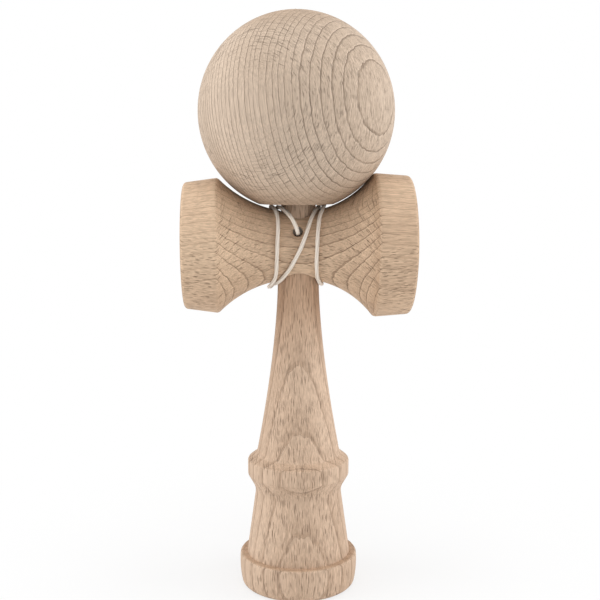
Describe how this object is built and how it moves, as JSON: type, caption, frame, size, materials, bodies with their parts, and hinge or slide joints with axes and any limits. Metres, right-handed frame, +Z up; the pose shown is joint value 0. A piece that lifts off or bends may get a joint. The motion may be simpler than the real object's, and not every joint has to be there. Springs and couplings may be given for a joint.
{
  "type": "kendama",
  "caption": "Wooden kendama: a turned handle with spike and base cup, a cross of cups pushed on it, and a bored ball on the spike, tied by a cord wound round the waist.",
  "frame": {"origin": "centre of the base cup's rim, on the handle's axis, in the plane that the toy stands on", "axes": "+Z up along the handle towards the spike; +X towards the big cup; -Y towards the side with the cord's hole"},
  "size_m": [0.07, 0.0611, 0.182],
  "materials": {
    "handle_wood": "bare sanded beech",
    "cross_wood": "bare sanded beech",
    "ball_wood": "bare sanded beech",
    "bead_wood": "smooth bare wood",
    "cord": "smooth off-white twisted cord"
  },
  "bodies": {
    "handle": {"ken": "handle_wood", "sarado": "cross_wood", "ken_knot": "cord", "string_winding": "cord", "string_run": "cord"},
    "cord_end": {"bead": "bead_wood", "bead_knot": "cord", "string_tail": "cord"},
    "ball": {"tama": "ball_wood"}
  },
  "joints": [
    {"name": "tama_lift", "type": "slide", "parent": "handle", "child": "cord_end", "axis": [0, 0, 1], "range_m": [0, 0.045], "deforming": ["string_run"]},
    {"name": "tama_spin", "type": "hinge", "parent": "cord_end", "child": "ball", "pos_m": [-0.0006, 0, 0.1507], "axis": [0, 0, 1], "continuous": true}
  ]
}
